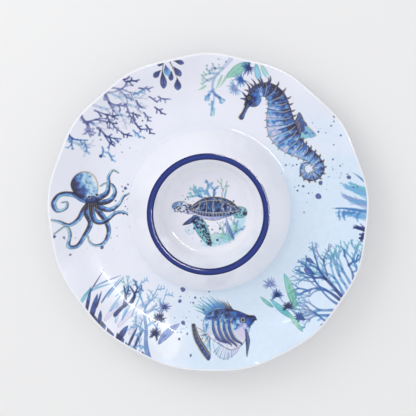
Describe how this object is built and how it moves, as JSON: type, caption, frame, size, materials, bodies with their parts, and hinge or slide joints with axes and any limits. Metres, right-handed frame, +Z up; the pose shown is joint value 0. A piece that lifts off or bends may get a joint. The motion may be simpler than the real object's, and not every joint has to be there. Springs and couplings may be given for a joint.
{
  "type": "chip and dip server",
  "caption": "Round scalloped serving platter with a raised dip well in its middle, a coloured band on the well's lip and sea-life prints in the tray.",
  "frame": {"origin": "on the table, under the middle of the platter", "axes": "+Z up out of the well, with the platter lying on its foot ring; +Y towards the top of the printed picture, +X to its right"},
  "size_m": [0.3433, 0.3431, 0.04],
  "materials": {
    "melamine": "glossy moulded melamine, cool white",
    "tray_foil": "watercolour print under a clear glaze, pale blue fading to lavender white",
    "well_foil": "watercolour print under a clear glaze",
    "band_ink": "glossy cobalt blue"
  },
  "bodies": {
    "root": {"platter_body": "melamine", "tray_print": "tray_foil", "well_print": "well_foil", "lip_band": "band_ink"}
  },
  "joints": []
}
